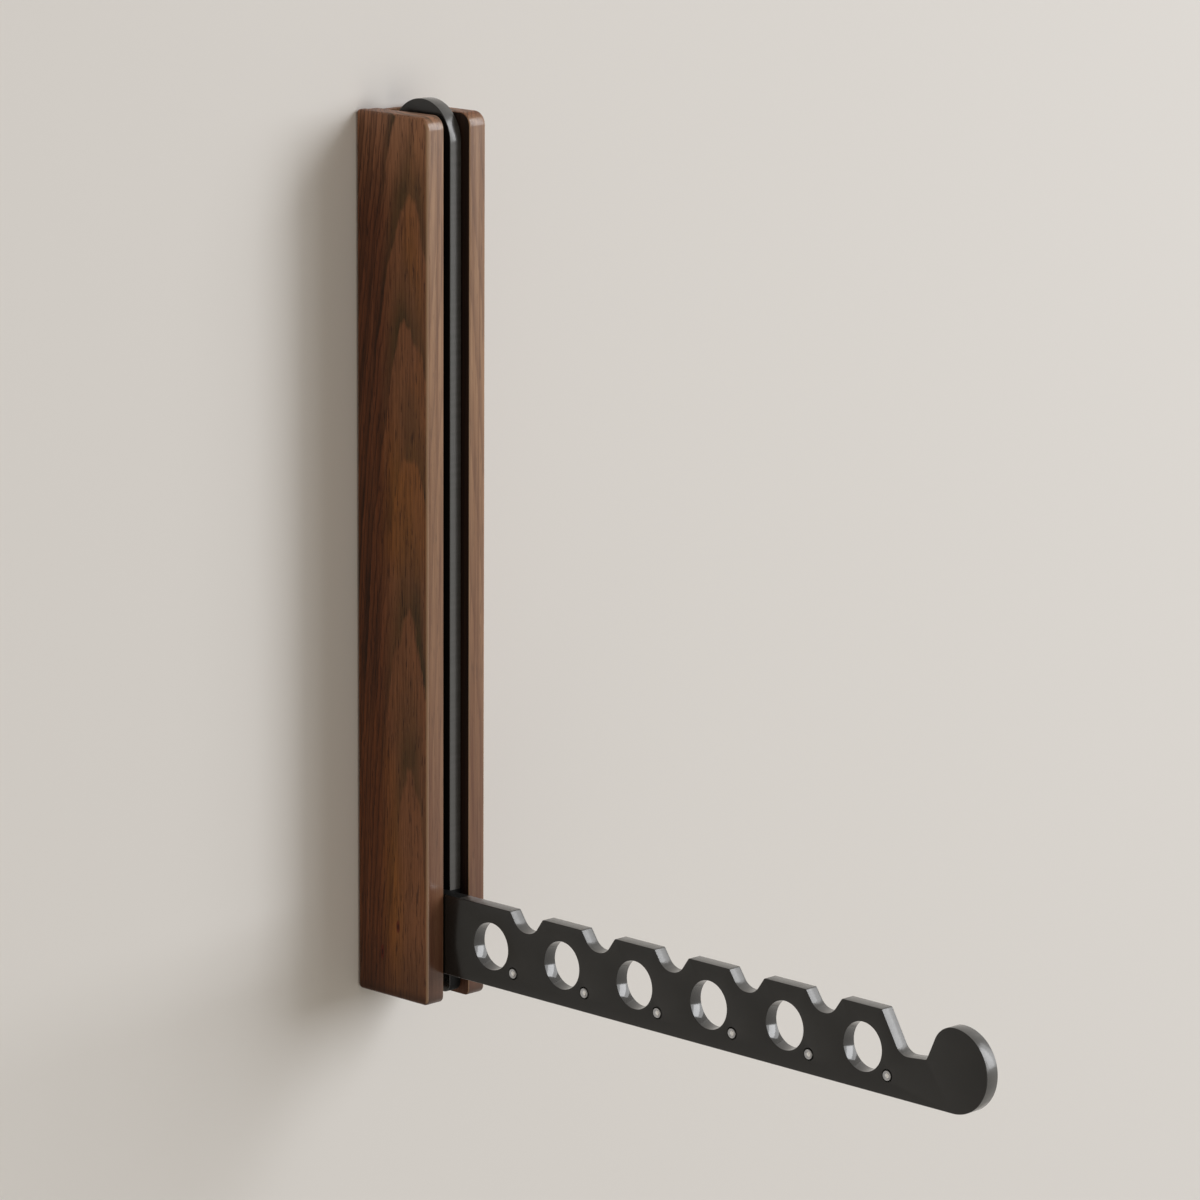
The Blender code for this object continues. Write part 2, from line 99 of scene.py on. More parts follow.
# Small forms that only the looks have
ARM_EASE = 0.00035
BED_EASE = 0.0001
STUD_CREST = 0.88  # radius of the crest as a share of the stud's
STUD_EASE = 0.0002
DISH = 0.0008
SCREW_RIM = 0.00012
SCREW_POINT = 0.0012
SCREW_TIP_R = 0.0004
CROSS_SLOT = (0.0027, 0.00062, 0.0020)
CROSS_TAPER = 0.45
CROSS_TURN = math.radians(20)
CUP_EASE = 0.0001
PAD_R = 0.0012
PAD_FRONT_EASE = 0.0004
PAD_BACK_EASE = 0.0001

# Where a piece changes its coat or colour; the darker colours near the pin, on the hole walls and in the slot
# are painted shade
HUB = 0.0250  # an arm's edge is painted near-black up to here from the pin, as painted shade in the slot
BORE_REACH = 0.55 * HOLE_D  # rim faces within this of a hole's middle belong to the hole
SLOT_FACING = 0.9  # faces of a cheek that point this much into the slot get the painted shade

# Fineness of the meshes
FILLET_STEPS = 12
ROUND_STEPS = 64
SMALL_STEPS = 32
END_STEPS = 72
LOBE_STEPS = 30
WOOD_EASE_STEPS = 6
ARM_EASE_STEPS = 3
PAD_EASE_STEPS = 4
CREST_STEPS = 8
DISH_STEPS = 6

# Limits
FILLET_SHARE = 0.49  # a fillet takes up at most this share of a side
MITRE_MIN = 0.3  # keeps the inset of sharp corners short
WELD = 2e-6  # points closer than this become one
LEVEL = 1e-6  # points within this of a height lie on it
CUT_PAST = 0.002  # cutters reach this far past the wood

# Edges that turn more than these degrees stay sharp
WOOD_CREASE = 32
PLATE_CREASE = 34
STUD_CREASE = 40
TURNED_CREASE = 30

# Material slots of a plate
FLAT_SLOT, RIM_SLOT, HUB_SLOT, BORE_SLOT = range(4)


# Shapes


def arc(a, b, r, start, end, steps):
    """Points (a, b, 0) of an arc, as corners without a radius."""
    turns = [start + (end - start) * k / steps for k in range(steps + 1)]
    return [(a + r * math.cos(t), b + r * math.sin(t), 0.0) for t in turns]


def circle(a, b, r, steps):
    """Points (a, b) of a circle."""
    return [(a, b) for a, b, _ in arc(a, b, r, 0.0, 2 * math.pi, steps)[:-1]]


def rounded(corners):
    """Closed outline through corners (a, b, radius). A radius makes an arc inside the corner's two sides."""
    points = []
    for i, (a, b, radius) in enumerate(corners):
        if radius <= 0:
            points.append((a, b))
            continue
        here = Vector((a, b))
        back = Vector(corners[i - 1][:2]) - here
        ahead = Vector(corners[(i + 1) % len(corners)][:2]) - here
        half = back.angle(ahead) / 2
        reach = min(radius / math.tan(half), back.length * FILLET_SHARE, ahead.length * FILLET_SHARE)
        r = reach * math.tan(half)
        first = here + back.normalized() * reach
        last = here + ahead.normalized() * reach
        centre = here + (back.normalized() + ahead.normalized()).normalized() * (r / math.sin(half))
        start = math.atan2(first.y - centre.y, first.x - centre.x)
        end = math.atan2(last.y - centre.y, last.x - centre.x)
        turn = (end - start + math.pi) % (2 * math.pi) - math.pi
        points += [(x, y) for x, y, _ in arc(centre.x, centre.y, r, start, start + turn, FILLET_STEPS)]
    return points


def into_stuff(loop, hole):
    """The loop turned so that the solid lies on its left, and for each point the step of one unit into it."""
    area = sum(p[0] * q[1] - q[0] * p[1] for p, q in zip(loop, loop[1:] + loop[:1]))
    if (area < 0) != hole:
        loop = loop[::-1]
    points = [Vector(p) for p in loop]
    steps = []
    for i, p in enumerate(points):
        back = (p - points[i - 1]).normalized()
        ahead = (points[(i + 1) % len(points)] - p).normalized()
        left = [Vector((-d.y, d.x)) for d in (back, ahead)]
        middle = (left[0] + left[1]).normalized()
        steps.append(middle / max(middle.dot(left[0]), MITRE_MIN))
    return points, steps


def eased_plate(loops, low, high, ease_low, ease_high, steps, place):
    """Flat plate with rounded edges. The first loop is its outline, the rest are holes; place takes
    (a, b, height) to the frame. The faces of its straight rim go to RIM_SLOT."""
    bm = bmesh.new()
    turns = [math.pi / 2 * k / steps for k in range(steps + 1)]
    rows = [(ease_low * (1 - math.sin(t)), low + ease_low * (1 - math.cos(t))) for t in turns]
    rows += [(ease_high * (1 - math.sin(t)), high - ease_high * (1 - math.cos(t))) for t in reversed(turns)]
    for number, loop in enumerate(loops):
        points, inward = into_stuff(loop, number > 0)
        rings = []
        for inset, height in rows:
            spots = [p + s * inset for p, s in zip(points, inward)]
            rings.append([bm.verts.new(place @ Vector((p.x, p.y, height))) for p in spots])
        for k, (one, two) in enumerate(zip(rings, rings[1:])):
            for i in range(len(points)):
                face = bm.faces.new((one[i - 1], one[i], two[i], two[i - 1]))
                face.smooth = True
                face.material_index = RIM_SLOT if k == steps else FLAT_SLOT
    bmesh.ops.remove_doubles(bm, verts=bm.verts, dist=WELD)
    up = (place.to_3x3() @ Vector((0.0, 0.0, 1.0))).normalized()
    base = place.translation.dot(up)
    open_edges = [e for e in bm.edges if e.is_boundary]
    for height in (low, high):
        rim = [e for e in open_edges if abs(e.verts[0].co.dot(up) - base - height) < LEVEL]
        bmesh.ops.triangle_fill(bm, edges=rim, use_beauty=True)
    return bm


def lathe(profile, steps, place, ring=False):
    """Turned solid, its axis the Z of place. The profile is (radius, height) points from end to end,
    starting and ending on the axis, or for a ring a closed loop of points off the axis."""
    bm = bmesh.new()
    rows = []
    for r, h in profile:
        spots = circle(0.0, 0.0, r, steps) if r > 0 else [(0.0, 0.0)]
        rows.append([bm.verts.new(place @ Vector((x, y, h))) for x, y in spots])
    pairs = list(zip(rows, rows[1:]))
    if ring:
        pairs.append((rows[-1], rows[0]))
    for low, high in pairs:
        for k in range(steps):
            n = (k + 1) % steps
            corners = [low[k % len(low)], low[n % len(low)], high[n % len(high)], high[k % len(high)]]
            bm.faces.new(list(dict.fromkeys(corners)))
    return bm


def box(low, high):
    """Solid box between two corners."""
    bm = bmesh.new()
    middle = [(h + l) / 2 for l, h in zip(low, high)]
    size = Matrix.Diagonal((*[h - l for l, h in zip(low, high)], 1.0))
    bmesh.ops.create_cube(bm, size=1.0, matrix=Matrix.Translation(middle) @ size)
    return bm


def link_mesh(bm, name, *materials):
    """Puts bm into the scene as an object and frees it."""
    mesh = bpy.data.meshes.new(name)
    bm.to_mesh(mesh)
    bm.free()
    for mat in materials:
        mesh.materials.append(mat)
    obj = bpy.data.objects.new(name, mesh)
    bpy.context.collection.objects.link(obj)
    return obj


def new_solid(bm, name, *materials):
    """Object of a closed bm, with its faces turned outward."""
    bmesh.ops.recalc_face_normals(bm, faces=bm.faces)
    return link_mesh(bm, name, *materials)


def carve(obj, *cutters):
    """Cuts closed shapes out of obj for good."""
    for bm in cutters:
        tool = new_solid(bm, obj.name + "_cutter")
        mod = obj.modifiers.new("cut", "BOOLEAN")
        mod.operation, mod.solver, mod.object = "DIFFERENCE", "EXACT", tool
        bpy.context.view_layer.update()
        done = obj.evaluated_get(bpy.context.evaluated_depsgraph_get())
        whole = bpy.data.meshes.new_from_object(done)
        obj.modifiers.clear()
        obj.data = whole
        bpy.data.objects.remove(tool, do_unlink=True)


def smooth(obj, degrees):
    """Shades obj smooth, except over edges that turn more than so many degrees."""
    obj.data.shade_smooth()
    obj.data.set_sharp_from_angle(angle=math.radians(degrees))


BODY_OF = {}
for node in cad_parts:
    on_arm = "arm" in node or "bush" in node
    BODY_OF[node] = node.split("_")[0] + "_arm" if on_arm else "housing"


def stand_for(obj, node):
    """Lets obj take a CAD node's place on its body."""
    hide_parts(node)
    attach(obj, BODY_OF[node])


# Materials

# Walnut on the faces along its layers, and the painted light at their top
PINK, ORANGE, RED = (0.246, 0.099, 0.043), (0.292, 0.110, 0.028), (0.162, 0.048, 0.019)
OLIVE, DARK = (0.062, 0.038, 0.012), (0.038, 0.014, 0.0068)
PALE_STREAK, TOP_LIGHT = (0.310, 0.135, 0.066), (0.420, 0.200, 0.105)
# Walnut on the faces that point forward, and the painted shade towards their foot
TAN, SAND, BROWN = (0.252, 0.129, 0.064), (0.360, 0.207, 0.115), (0.130, 0.056, 0.028)
FOOT_SHADE = (0.110, 0.038, 0.020)
# Walnut everywhere: pores, knots, a painted shade along the foot and a painted highlight on the rounded
# upright edges
TOE_SHADE, PORE, BEVEL_HIGHLIGHT = (0.040, 0.016, 0.008), (0.022, 0.008, 0.005), (0.40, 0.245, 0.140)
KNOT_RED, KNOT_BLACK = (0.120, 0.018, 0.008), (0.025, 0.008, 0.005)

FOOT_UNIT = -5.0  # makes the height of the block's foot 1
RINGS_PER_M = 219.0
FINE_RINGS_PER_M = 590.0
RING_CLIMB, RING_CURVE = 0.0635, 0.0753  # how the rings lean and bend over the height
SLOW_WAVE, QUICK_WAVE = 0.0036, 0.0016

NOISE_LOW, NOISE_HIGH = 0.3, 0.7  # most of a noise lies between these
MIX_INPUTS, MIX_RESULT = (0, 6, 7), 2  # sockets of a Mix node for colours


class Paint:
    """A named Principled material and short ways to add its nodes."""

    def __init__(self, name, **sockets):
        self.mat = bpy.data.materials.new(name)
        self.mat.use_nodes = True
        self.tree = self.mat.node_tree
        self.shader = self.tree.nodes["Principled BSDF"]
        for socket, value in sockets.items():
            self.shader.inputs[socket.replace("_", " ")].default_value = value
        coordinates = self.tree.nodes.new("ShaderNodeTexCoord").outputs
        self.place, self.normal = coordinates["Object"], coordinates["Normal"]

    def put(self, node, socket, value):
        if isinstance(value, bpy.types.NodeSocket):
            self.tree.links.new(value, node.inputs[socket])
        else:
            node.inputs[socket].default_value = value

    def to(self, socket, value):
        self.put(self.shader, socket, value)

    def stretch(self, scale, offset):
        node = self.tree.nodes.new("ShaderNodeMapping")
        self.put(node, "Vector", self.place)
        self.put(node, "Scale", scale)
        self.put(node, "Location", offset)
        return node.outputs["Vector"]

    def noise(self, scale, detail, rough=0.55, offset=(0.0, 0.0, 0.0)):
        """Noise with so many waves in a metre, for all axes or for each."""
        scale = scale if isinstance(scale, tuple) else (scale, scale, scale)
        node = self.tree.nodes.new("ShaderNodeTexNoise")
        self.put(node, "Vector", self.stretch(scale, offset))
        self.put(node, "Scale", 1.0)
        self.put(node, "Detail", detail)
        self.put(node, "Roughness", rough)
        return node.outputs["Fac"]

    def spot(self, centre, size):
        """Rises from 0 at the skin of an egg of these half sizes to 1 at its centre."""
        node = self.tree.nodes.new("ShaderNodeTexGradient")
        node.gradient_type = "SPHERICAL"
        offset = tuple(-c / r for c, r in zip(centre, size))
        self.put(node, "Vector", self.stretch(tuple(1 / r for r in size), offset))
        return node.outputs["Fac"]

    def parts(self, vector):
        """The X, Y and Z of a vector."""
        node = self.tree.nodes.new("ShaderNodeSeparateXYZ")
        self.put(node, 0, vector)
        return node.outputs

    def calc(self, operation, *values):
        node = self.tree.nodes.new("ShaderNodeMath")
        node.operation = operation
        for k, value in enumerate(values):
            self.put(node, k, value)
        return node.outputs[0]

    def ramp(self, fac, *stops):
        """Goes through stops (position, colour or grey level)."""
        node = self.tree.nodes.new("ShaderNodeValToRGB")
        self.put(node, "Fac", fac)
        colours = node.color_ramp.elements
        while len(colours) < len(stops):
            colours.new(0.5)
        for element, (at, colour) in zip(colours, stops):
            element.position = at
            element.color = (*colour, 1.0) if isinstance(colour, tuple) else (colour, colour, colour, 1.0)
        return node.outputs["Color"]

    def spread(self, noise, low, high):
        """Goes from low to high over the range of a noise."""
        return self.ramp(noise, (NOISE_LOW, low), (NOISE_HIGH, high))

    def mix(self, fac, one, two):
        node = self.tree.nodes.new("ShaderNodeMix")
        node.data_type = "RGBA"
        for socket, value in zip(MIX_INPUTS, (fac, one, two)):
            self.put(node, socket, (*value, 1.0) if isinstance(value, tuple) else value)
        return node.outputs[MIX_RESULT]

    def bump(self, height, distance, strength):
        node = self.tree.nodes.new("ShaderNodeBump")
        self.put(node, "Height", height)
        self.put(node, "Distance", distance)
        self.put(node, "Strength", strength)
        self.to("Normal", node.outputs["Normal"])


class Walnut(Paint):
    """Flat-sawn walnut. heart is the (x, y) of the tree's middle, lag shifts its rings up and down."""

    def __init__(self, name, heart, lag):
        super().__init__(name, Coat_Roughness=0.20, Specular_IOR_Level=0.16)
        x, y, self.z = self.parts(self.place)
        across = self.calc("SUBTRACT", x, heart[0])
        along = self.calc("SUBTRACT", y, heart[1])
        square = self.calc("MULTIPLY_ADD", across, across, self.calc("MULTIPLY", along, along))
        lean = self.calc("MULTIPLY_ADD", self.z, RING_CURVE, RING_CLIMB)
        ring = self.calc("MULTIPLY_ADD", self.z, lean, self.calc("SQRT", square))
        slow = self.noise((42.0, 42.0, 11.0), detail=3.0, rough=0.55)
        quick = self.noise((150.0, 150.0, 48.0), detail=3.0, rough=0.6)
        ring = self.calc("MULTIPLY_ADD", slow, SLOW_WAVE, ring)
        ring = self.calc("MULTIPLY_ADD", quick, QUICK_WAVE, ring)
        year = self.calc("FRACT", self.calc("MULTIPLY_ADD", ring, RINGS_PER_M, lag))
        thin = self.calc("FRACT", self.calc("MULTIPLY_ADD", ring, FINE_RINGS_PER_M, lag))
        self.late = self.ramp(year, (0.0, 1.0), (0.10, 0.95), (0.30, 0.55),
                              (0.58, 0.10), (0.94, 0.0), (1.0, 0.9))
        self.line = self.ramp(thin, (0.0, 0.9), (0.16, 0.3), (0.38, 0.0), (0.86, 0.0), (1.0, 0.9))
        aside = self.calc("MULTIPLY", self.calc("ABSOLUTE", along), 40.0)
        self.beside = self.ramp(aside, (0.34, 0.0), (0.74, 1.0))
        self.streak = self.noise((560.0, 560.0, 9.0), detail=4.0, rough=0.65)
        self.fibre = self.noise((1700.0, 1700.0, 55.0), detail=2.0, rough=0.6, offset=(0.3, 0.0, 0.7))
        self.pore = self.noise((1350.0, 1350.0, 110.0), detail=2.0, rough=0.5, offset=(0.0, 0.6, 0.2))

    def along_layers(self):
        """Colour of the side faces: cathedral rings in the middle, fine lines beside them, painted light
        towards the top.
        """
        tint = self.noise((26.0, 26.0, 8.0), detail=2.0, rough=0.5, offset=(1.7, 2.2, 0.3))
        cloud = self.noise((30.0, 30.0, 9.0), detail=3.0, rough=0.6, offset=(3.1, 0.4, 0.9))
        darkness = self.calc("MULTIPLY_ADD", self.z, 0.9, cloud)
        height = self.calc("MULTIPLY", self.z, 4.0)
        colour = self.mix(self.ramp(tint, (0.44, 0.0), (0.56, 1.0)), PINK, ORANGE)
        colour = self.mix(self.calc("MULTIPLY", self.beside, 0.85), colour, RED)
        colour = self.mix(self.ramp(self.streak, (0.28, 0.50), (0.46, 0.0)), colour, DARK)
        colour = self.mix(self.ramp(self.streak, (0.56, 0.0), (0.74, 0.5)), colour, PALE_STREAK)
        # painted light: the side faces turn paler towards the top
        colour = self.mix(self.ramp(height, (0.62, 0.0), (0.78, 0.55)), colour, TOP_LIGHT)
        faint = self.calc("MULTIPLY", self.beside, self.ramp(height, (0.40, 0.0), (0.75, 0.65)))
        late = self.calc("MULTIPLY", self.late, self.ramp(darkness, (0.38, 0.25), (0.60, 1.0)))
        late = self.calc("MULTIPLY", late, self.calc("SUBTRACT", 1.0, faint))
        colour = self.mix(late, colour, self.mix(self.beside, OLIVE, DARK))
        line = self.calc("MULTIPLY", self.line, self.calc("MULTIPLY", self.beside, 0.85))
        return self.mix(line, colour, DARK)

    def across_layers(self):
        """Colour of the faces that point forward: paler and straighter, with painted shade deepening towards
        the foot.
        """
        colour = self.mix(self.ramp(self.streak, (0.40, 0.0), (0.66, 1.0)), TAN, SAND)
        colour = self.mix(self.ramp(self.streak, (0.28, 0.65), (0.47, 0.0)), colour, BROWN)
        colour = self.mix(self.calc("MULTIPLY", self.late, 0.42), colour, BROWN)
        # painted shade: the forward faces darken towards the foot
        low = self.ramp(self.calc("MULTIPLY_ADD", self.z, 2.0, 0.5), (0.06, 0.85), (0.66, 0.0))
        return self.mix(low, colour, FOOT_SHADE)


def walnut(name, heart, lag, gloss, knots=()):
    """Walnut of one board. gloss is the weight of the clear coat on the faces that point forward, knots
    are given by centre and half sizes."""
    wood = Walnut(name, heart, lag)
    facing_x, facing_y, _ = wood.parts(wood.normal)
    ahead = wood.calc("MULTIPLY", facing_y, -1.0)
    turned = wood.ramp(ahead, (0.45, 0.0), (0.90, 1.0))
    colour = wood.mix(turned, wood.along_layers(), wood.across_layers())
    # painted shade: a dark band along the foot, where the rounded underside turns away from the light
    toe_shade = wood.ramp(wood.calc("MULTIPLY", wood.z, FOOT_UNIT),
                    (0.85, 0.0), (0.90, 0.20), (0.95, 0.34), (0.972, 0.40), (0.988, 0.78))
    colour = wood.mix(toe_shade, colour, TOE_SHADE)
    calm = wood.calc("MULTIPLY_ADD", turned, -0.65, 1.0)  # weakens fibres and pores on the forward faces
    fibres = wood.calc("MULTIPLY", wood.ramp(wood.fibre, (0.36, 0.42), (0.56, 0.0)), calm)
    colour = wood.mix(fibres, colour, DARK)
    pores = wood.calc("MULTIPLY", wood.ramp(wood.pore, (0.60, 0.0), (0.67, 0.65)), calm)
    colour = wood.mix(pores, colour, PORE)
    # painted highlight on the rounded upright edges between the side and front faces
    corner = wood.calc("ABSOLUTE", wood.calc("MULTIPLY", facing_x, ahead))
    colour = wood.mix(wood.ramp(corner, (0.26, 0.0), (0.46, 0.7)), colour, BEVEL_HIGHLIGHT)
    for centre, size in knots:
        knot = wood.spot(centre, size)
        colour = wood.mix(wood.ramp(knot, (0.10, 0.0), (0.45, 0.85)), colour, KNOT_RED)
        colour = wood.mix(wood.ramp(knot, (0.55, 0.0), (0.80, 0.9)), colour, KNOT_BLACK)
    wood.to("Base Color", colour)
    wood.to("Roughness", wood.spread(wood.streak, 0.52, 0.38))
    wood.to("Coat Weight", wood.ramp(ahead, (0.45, 0.08), (0.85, gloss)))
    height = wood.calc("SUBTRACT", wood.calc("MULTIPLY", wood.fibre, 0.35), pores)
    wood.bump(height, distance=0.00004, strength=0.6)
    return wood.mat


def shaded_slot():
    """Painted shade on the wood inside the slot, where the slot lies in deep shade. It ends just above the
    foot.
    """
    paint = Paint("slot_painted_shade", Specular_IOR_Level=0.2)
    streak = paint.noise((620.0, 620.0, 11.0), detail=4.0, rough=0.65)
    # painted shade: near-black where the slot's faces lie in shade
    darkness = paint.ramp(streak, (0.32, (0.008, 0.004, 0.0028)), (0.68, (0.036, 0.016, 0.009)))
    wood = paint.ramp(streak, (0.32, (0.085, 0.036, 0.020)), (0.68, (0.170, 0.078, 0.045)))
    depth = paint.calc("MULTIPLY", paint.parts(paint.place)["Z"], FOOT_UNIT)
    paint.to("Base Color", paint.mix(paint.ramp(depth, (0.925, 0.0), (0.975, 0.9)), darkness, wood))
    paint.to("Roughness", paint.spread(streak, 0.70, 0.52))
    paint.bump(streak, distance=0.00004, strength=0.5)
    return paint.mat


def coated_steel():
    """Smooth black coat of the arms and the bracket."""
    paint = Paint("black_coat", Specular_IOR_Level=0.5)
    cloud = paint.noise(60.0, detail=3.0)
    grain = paint.noise(2600.0, detail=2.0)
    paint.to("Base Color", paint.spread(cloud, (0.0080, 0.0078, 0.0070), (0.0125, 0.0121, 0.0108)))
    paint.to("Roughness", paint.spread(cloud, 0.17, 0.24))
    paint.bump(grain, distance=0.00002, strength=0.35)
    return paint.mat


def cut_edge(name, dim, bright, **sockets):
    """Glossier coat on the cut edges of the arms, with faint lines across the plate."""
    paint = Paint(name, **sockets)
    lines = paint.noise((30.0, 420.0, 420.0), detail=2.0, rough=0.5)
    cloud = paint.noise(70.0, detail=2.0)
    paint.to("Base Color", paint.spread(lines, dim, bright))
    paint.to("Roughness", paint.spread(cloud, 0.36, 0.43))
    paint.bump(lines, distance=0.00001, strength=0.15)
    return paint.mat


def bare_metal(name, dim, bright, rough, scale):
    """Turned or plated metal with fine scratches and a faint cloudiness."""
    paint = Paint(name, Metallic=1.0)
    cloud = paint.noise(scale, detail=3.0, rough=0.6)
    scratch = paint.noise((300.0, 4200.0, 4200.0), detail=2.0)
    paint.to("Base Color", paint.spread(cloud, dim, bright))
    paint.to("Roughness", paint.spread(cloud, *rough))
    paint.bump(scratch, distance=0.00001, strength=0.25)
    return paint.mat


def soft_black(name, dim, bright, rough, scale, specular=0.4):
    """Moulded plastic and rubber with a fine matt grain; also the near-black painted shade on the arms' edges
    near the pin.
    """
    paint = Paint(name, Specular_IOR_Level=specular)
    grain = paint.noise(scale, detail=3.0, rough=0.6)
    paint.to("Base Color", paint.spread(grain, dim, bright))
    paint.to("Roughness", paint.spread(grain, rough, rough + 0.12))
    paint.bump(grain, distance=0.00003, strength=0.4)
    return paint.mat


KNOTS = [((-0.0180, -0.0262, -0.1665), (0.004, 0.0015, 0.0040)),
         ((-0.0180, -0.0160, -0.1800), (0.004, 0.0014, 0.0046))]
LEFT_WALNUT = walnut("walnut_left", (0.012, -0.0330), lag=0.11, gloss=0.75, knots=KNOTS)
RIGHT_WALNUT = walnut("walnut_right", (-0.012, -0.0210), lag=0.60, gloss=0.75)
BOARD_WALNUT = walnut("walnut_back", (0.004, -0.0300), lag=0.40, gloss=0.10)
SLOT_SHADE = shaded_slot()
BLACK = coated_steel()
EDGE = cut_edge("arm_cut_edge", (0.041, 0.040, 0.038), (0.058, 0.057, 0.054),
                Specular_IOR_Level=0.5, Coat_Weight=0.80, Coat_Roughness=0.15)
# hole walls: a darker base than the other cut edges as painted shade inside the holes, with a glossier coat
BORE = cut_edge("arm_hole_edge", (0.009, 0.0088, 0.0083), (0.016, 0.0156, 0.0148),
                Specular_IOR_Level=0.1, Coat_Weight=1.0, Coat_Roughness=0.09, Coat_IOR=1.70)
# bright metal of the hinge pin; on the studs' centres it is a painted highlight
BRIGHT = bare_metal("bright_stud", (0.74, 0.73, 0.71), (0.90, 0.89, 0.87), rough=(0.14, 0.24), scale=900.0)
# dark metal for the studs' outer shoulders: painted shade
RIM = bare_metal("stud_rim", (0.085, 0.084, 0.080), (0.130, 0.128, 0.122), rough=(0.26, 0.38), scale=900.0)
ZINC = bare_metal("zinc_plate", (0.40, 0.41, 0.43), (0.56, 0.56, 0.57), rough=(0.28, 0.44), scale=700.0)
PLASTIC = soft_black("bush_black", dim=0.030, bright=0.048, rough=0.42, scale=2200.0)
RUBBER = soft_black("pad_black", dim=0.020, bright=0.036, rough=0.78, scale=1700.0)
# painted shade: near-black for the arms' edges round the pin, down in the slot
HUB_SHADE = soft_black("hub_black", dim=0.005, bright=0.009, rough=0.60, scale=1700.0, specular=0.1)


# Pieces

# Take (a, b, height) of a plate to (height, a, b) and (a, height, b)
SIDEWAYS = Matrix(((0.0, 0.0, 1.0, 0.0), (1.0, 0.0, 0.0, 0.0), (0.0, 1.0, 0.0, 0.0), (0.0, 0.0, 0.0, 1.0)))
FORWARD = Matrix(((1.0, 0.0, 0.0, 0.0), (0.0, 0.0, 1.0, 0.0), (0.0, 1.0, 0.0, 0.0), (0.0, 0.0, 0.0, 1.0)))
left_low, left_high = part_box("left_arm")
PIN_Y, PIN_Z = left_high.y - HEEL, left_low.z + PIN_TO_EDGE
AT_PIN = Matrix.Translation((0.0, PIN_Y, PIN_Z))


def cheek(node, mat):
    """Walnut cheek with rounded edges, the rebate for the back board and the bed of the bracket's ear."""
    low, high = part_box(node)
    side = 1 if high.x > 0 else -1
    front, foot, top = low.y, low.z, high.z
    outline = rounded([
        (front, foot, FOOT_FRONT_R),
        (0.0, foot, FOOT_BACK_R),
        (0.0, top, OUTER_EDGE_R),
        (front, top, CORNER_R),
    ])
    radii = (OUTER_EDGE_R, INNER_EDGE_R) if side < 0 else (INNER_EDGE_R, OUTER_EDGE_R)
    plate = eased_plate([outline], low.x, high.x, *radii, WOOD_EASE_STEPS, SIDEWAYS)
    obj = new_solid(plate, node + "_wood", mat, mat)
    slot_x = high.x if side < 0 else low.x
    in_slot = slot_x - side * CUT_PAST
    left, right = sorted((in_slot, slot_x + side * BOARD_REBATE))
    rebate = box((left, -BOARD_T - SEAT_GAP, foot - CUT_PAST), (right, CUT_PAST, top + CUT_PAST))
    ear_front, ear_top = PIN_Y - EAR_REACH - SEAT_GAP, PIN_Z + EAR_REACH + SEAT_GAP
    ear_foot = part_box("hinge_bracket")[0].z - SEAT_GAP
    ear = rounded([
        (ear_front, ear_foot, EAR_R + SEAT_GAP),
        (CUT_PAST, ear_foot, 0.0),
        (CUT_PAST, ear_top, 0.0),
        (ear_front, ear_top, EAR_R + SEAT_GAP),
    ])
    left, right = sorted((in_slot, slot_x + side * (EAR_T + SEAT_GAP)))
    bed = eased_plate([ear], left, right, BED_EASE, BED_EASE, 1, SIDEWAYS)
    carve(obj, rebate, bed)
    smooth(obj, WOOD_CREASE)
    # The faces inside the slot take the painted shade
    obj.data.materials[1] = SLOT_SHADE
    for face in obj.data.polygons:
        face.material_index = int(-side * face.normal.x > SLOT_FACING)
    stand_for(obj, node)


cheek("left_cheek", LEFT_WALNUT)
cheek("right_cheek", RIGHT_WALNUT)


def arm_outline(holes):
    """Side view of an arm with so many hanger holes, as (u, v) points from the pin."""
    edge, top = -PIN_TO_EDGE, ARM_H - PIN_TO_EDGE
    last = FIRST_HOLE + (holes - 1) * HOLE_PITCH
    end = last + LAST_HOLE_TO_END
    end_r = ARM_H / 2
    path = [(-HEEL, edge, HEEL_R), (HUB, edge, 0.0)]
    path += arc(end, edge + end_r, end_r, -math.pi / 2, math.pi / 2, END_STEPS)
    lobe_end = math.pi / 2 + END_LOBE_SWEEP
    path += arc(end, top - END_LOBE_R, END_LOBE_R, math.pi / 2, lobe_end, LOBE_STEPS)[1:]
    lobe_u, lobe_foot, _ = path[-1]
    bottom = top - END_NOTCH_DEPTH
    foot_v = bottom + END_NOTCH_RISE
    foot_u = lobe_u - (lobe_foot - foot_v) / math.tan(END_LOBE_SWEEP)
    path.append((foot_u, foot_v, END_FOOT_R))
    tab_end = last + END_TAB
    path.append((tab_end + END_NOTCH_DEPTH / math.tan(END_NOTCH_ANGLE), bottom, END_NOTCH_R))
    path.append((tab_end, top, TAB_R))
    half, run = NOTCH_W / 2, NOTCH_DEPTH / math.tan(NOTCH_ANGLE)
    for k in reversed(range(holes - 1)):
        mid = FIRST_HOLE + (k + 0.5) * HOLE_PITCH
        path.append((mid + half, top, TAB_R))
        path.append((mid + half - run, top - NOTCH_DEPTH, NOTCH_R))
        path.append((mid - half + run, top - NOTCH_DEPTH, NOTCH_R))
        path.append((mid - half, top, TAB_R))
    path.append((HUB, top, 0.0))
    lean = (top - HEEL * math.cos(HEEL_LEAN)) / math.sin(HEEL_LEAN)
    path.append((lean * math.cos(HEEL_LEAN) - HEEL * math.sin(HEEL_LEAN), top, SHOULDER_R))
    path += arc(0.0, 0.0, HEEL, math.pi / 2 + HEEL_LEAN, math.pi, LOBE_STEPS)
    return rounded(path)


